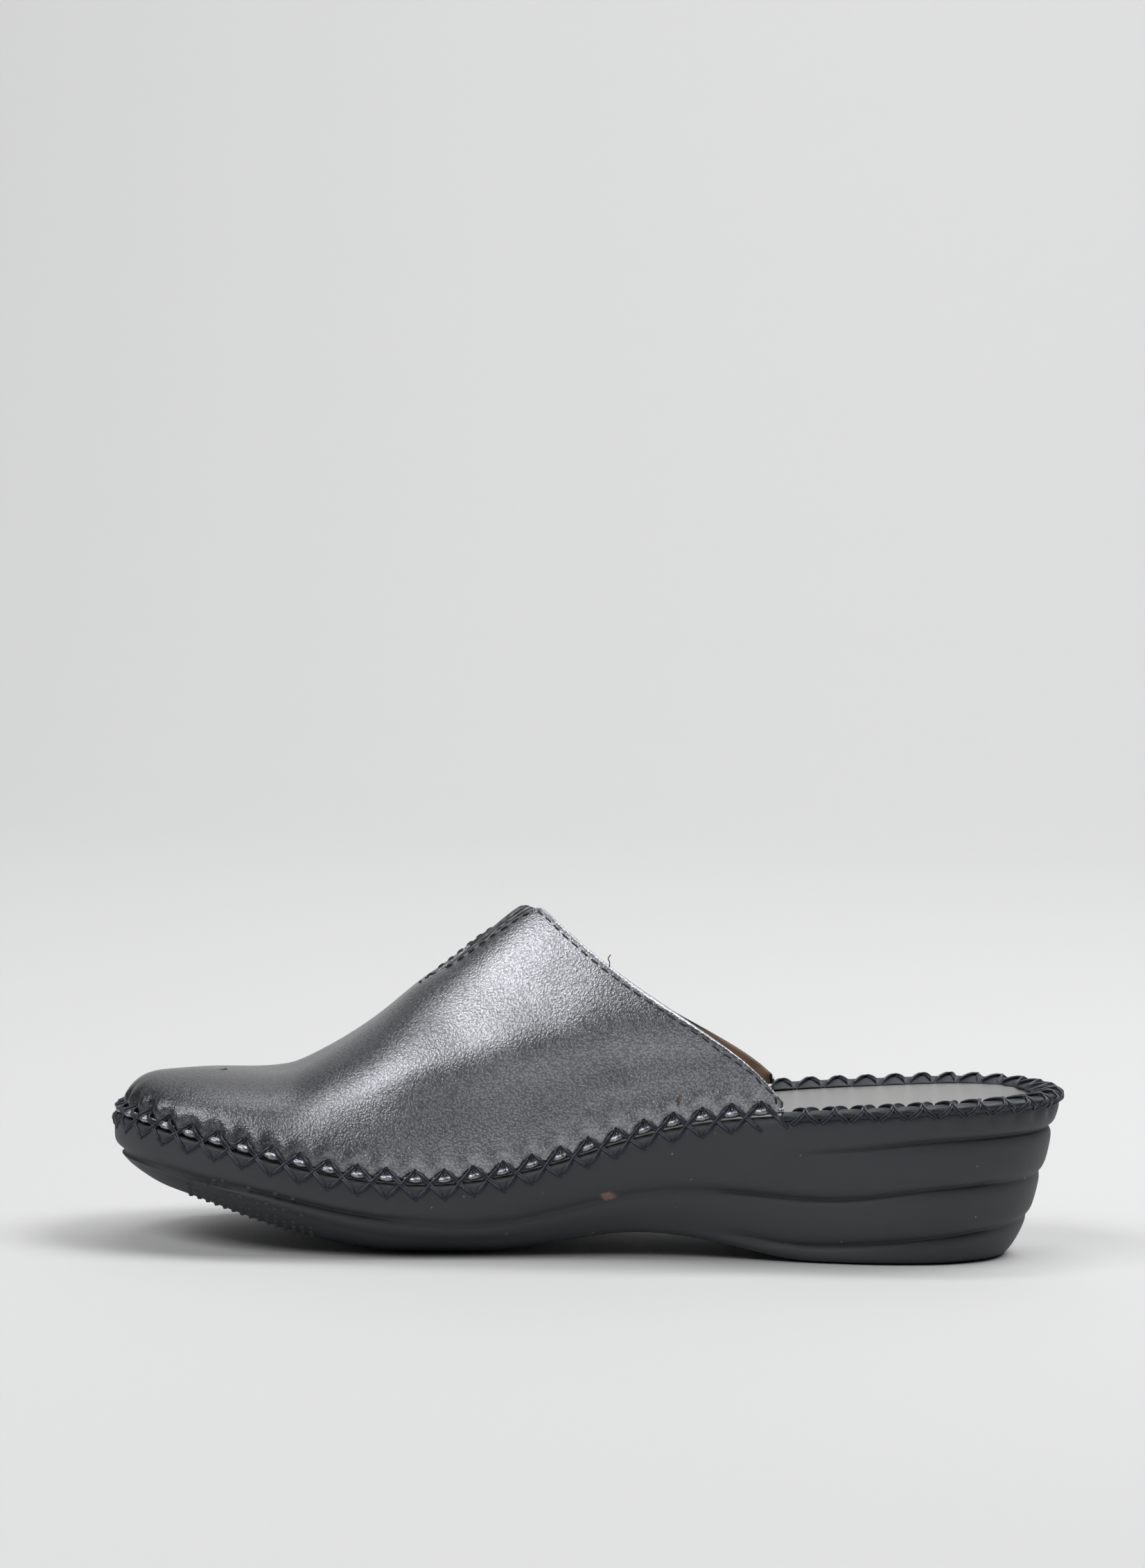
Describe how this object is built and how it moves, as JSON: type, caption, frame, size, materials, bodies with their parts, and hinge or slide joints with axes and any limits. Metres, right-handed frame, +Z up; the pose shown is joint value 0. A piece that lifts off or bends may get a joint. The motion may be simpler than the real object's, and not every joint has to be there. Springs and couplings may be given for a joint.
{
  "type": "house slipper",
  "caption": "Closed-toe, open-heel house slipper for the right foot: leather upper with an elastic gore, insole and a soft wedge sole, edges cross-stitched",
  "frame": {"origin": "on the floor under the middle of the slipper's box", "axes": "+Z up, the toe points along -X and the heel along +X, the inner side of the foot faces -Y"},
  "size_m": [0.262, 0.093, 0.0943],
  "materials": {
    "sole": "matte moulded soft polyurethane foam, charcoal",
    "upper_leather": "pewter metallic leather with a fine pebble grain, soft gloss",
    "elastic": "dark grey ribbed elastic",
    "insole": "dark grey matte leather footbed",
    "edge_leather": "black rolled leather edge"
  },
  "bodies": {
    "root": {"sole": "sole", "upper": "upper_leather", "gore": "elastic", "insole": "insole", "heel_rim_roll": "edge_leather"}
  },
  "joints": []
}
